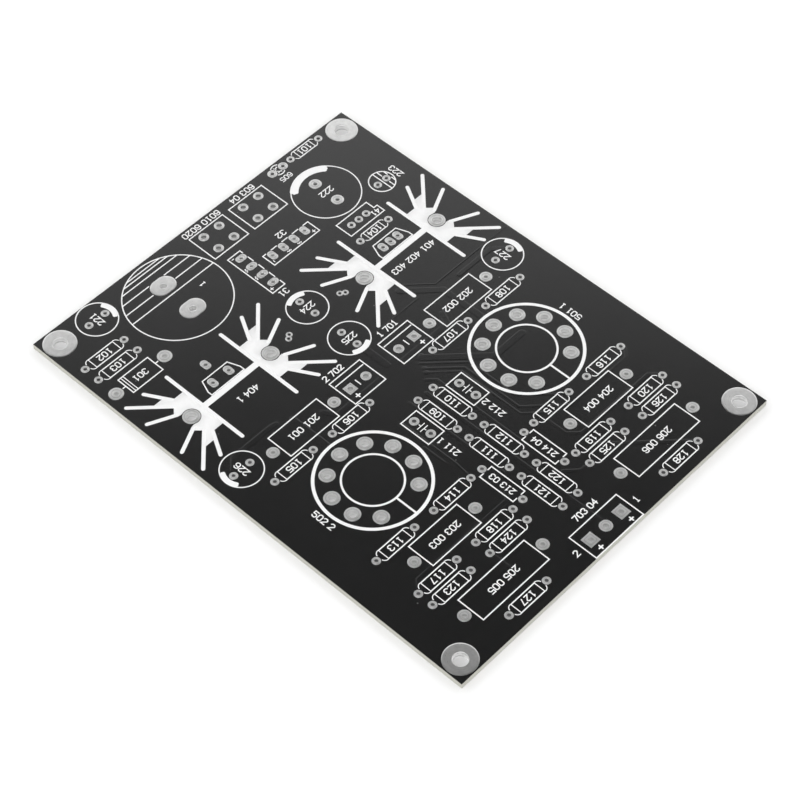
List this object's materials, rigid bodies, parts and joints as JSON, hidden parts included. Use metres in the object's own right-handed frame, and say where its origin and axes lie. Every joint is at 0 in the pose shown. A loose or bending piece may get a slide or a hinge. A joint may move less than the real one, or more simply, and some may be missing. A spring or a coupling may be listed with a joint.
{
  "type": "preamplifier circuit board",
  "caption": "Bare circuit board for a two-channel valve preamplifier: black mask, tinned plated holes, white component outlines and a mounting hole in each corner.",
  "frame": {"origin": "under the middle of the board, on the surface its tinned rings rest on", "axes": "+X along the board from the power supply to the signal input, +Y towards the left channel, +Z out of the component side"},
  "size_m": [0.1334, 0.1016, 0.0017],
  "materials": {
    "solder_mask": "black solder mask, semi-gloss",
    "tinned_copper": "hot-air levelled tin, softly mottled",
    "screen_print": "white screen-printed ink",
    "glass_fibre": "bare sawn glass-fibre edge"
  },
  "bodies": {
    "root": {"bridge_pads": "tinned_copper", "bridge_print": "screen_print", "channel_resistor_pads": "tinned_copper", "diode_pads": "tinned_copper", "electrolytic_pads": "tinned_copper", "film_capacitor_pads": "tinned_copper", "film_capacitor_print": "screen_print", "heat_sink_peg_pads": "tinned_copper", "heat_sink_print": "screen_print", "input_ground_pad": "tinned_copper", "input_signal_pads": "tinned_copper", "laminate": "solder_mask", "lamp_pads": "tinned_copper", "link_pads": "tinned_copper", "long_capacitor_pads": "tinned_copper", "middle_resistor_pads": "tinned_copper", "mounting_hole_rings": "tinned_copper", "output_ground_pads": "tinned_copper", "output_signal_pads": "tinned_copper", "plate_capacitor_pads": "tinned_copper", "power_terminal_pads": "tinned_copper", "regulator_pads": "tinned_copper", "regulator_print": "screen_print", "reservoir_pads": "tinned_copper", "reservoir_print": "screen_print", "resistor_print": "screen_print", "round_capacitor_print": "screen_print", "small_capacitor_print": "screen_print", "small_parts_print": "screen_print", "small_round_capacitor_pads": "tinned_copper", "smoothing_capacitor_pads": "tinned_copper", "supply_resistor_pads": "tinned_copper", "terminal_print": "screen_print", "trimmer_pads": "tinned_copper", "valve_socket_pads_left": "tinned_copper", "valve_socket_pads_right": "tinned_copper", "valve_socket_print": "screen_print"}
  },
  "joints": []
}
